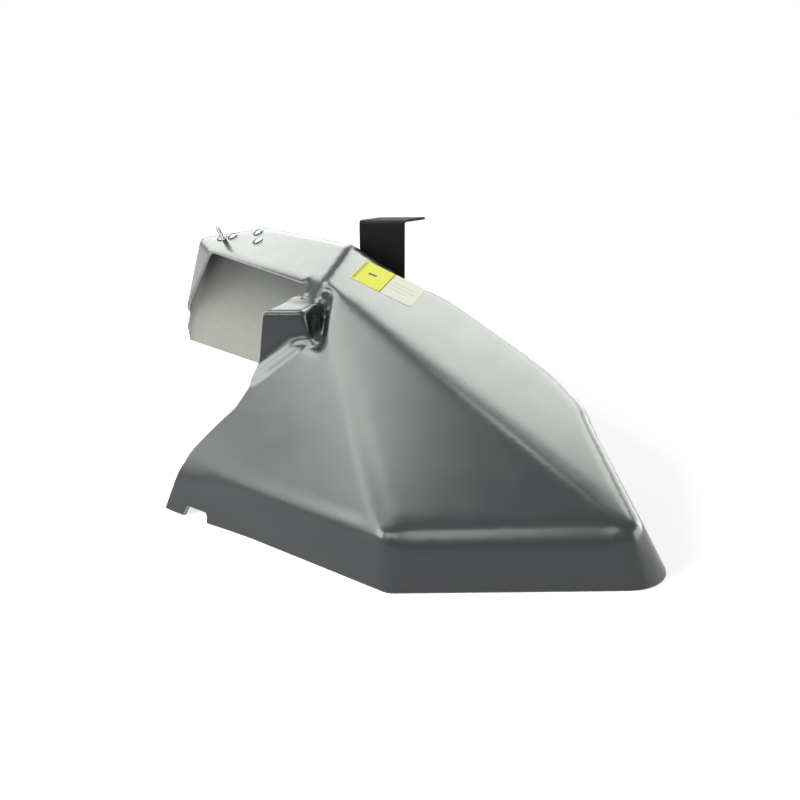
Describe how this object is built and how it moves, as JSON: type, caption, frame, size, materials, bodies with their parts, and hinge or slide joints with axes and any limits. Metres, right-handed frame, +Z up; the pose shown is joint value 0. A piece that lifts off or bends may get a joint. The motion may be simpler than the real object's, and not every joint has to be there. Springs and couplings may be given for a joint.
{
  "type": "mower deck deflector",
  "caption": "Moulded plastic side-discharge hood with sloping faces, an open mouth, a bolting shelf, a steel hanger and end fittings.",
  "frame": {"origin": "on the rim of the front skirt, 10 mm right of the corner with the left skirt, in the middle of the sheet", "axes": "+X along the front skirt to the right, +Y along the length towards the far end, +Z up, away from the rim"},
  "size_m": [0.4541, 0.6071, 0.225],
  "materials": {
    "hood_plastic": "smooth moulded, semi-gloss",
    "black_steel": "satin black paint",
    "zinc_steel": "bright zinc plate",
    "sticker_yellow": "gloss vinyl film",
    "sticker_white": "gloss vinyl film"
  },
  "bodies": {
    "root": {"hood_shell": "hood_plastic", "hanger_bracket": "black_steel", "hanger_bolts": "zinc_steel", "hanger_nuts": "zinc_steel", "end_plate": "zinc_steel", "end_screws": "zinc_steel", "end_nuts": "zinc_steel", "end_stud": "zinc_steel", "stud_nut": "zinc_steel", "sticker_yellow": "sticker_yellow", "sticker_white": "sticker_white"}
  },
  "joints": []
}
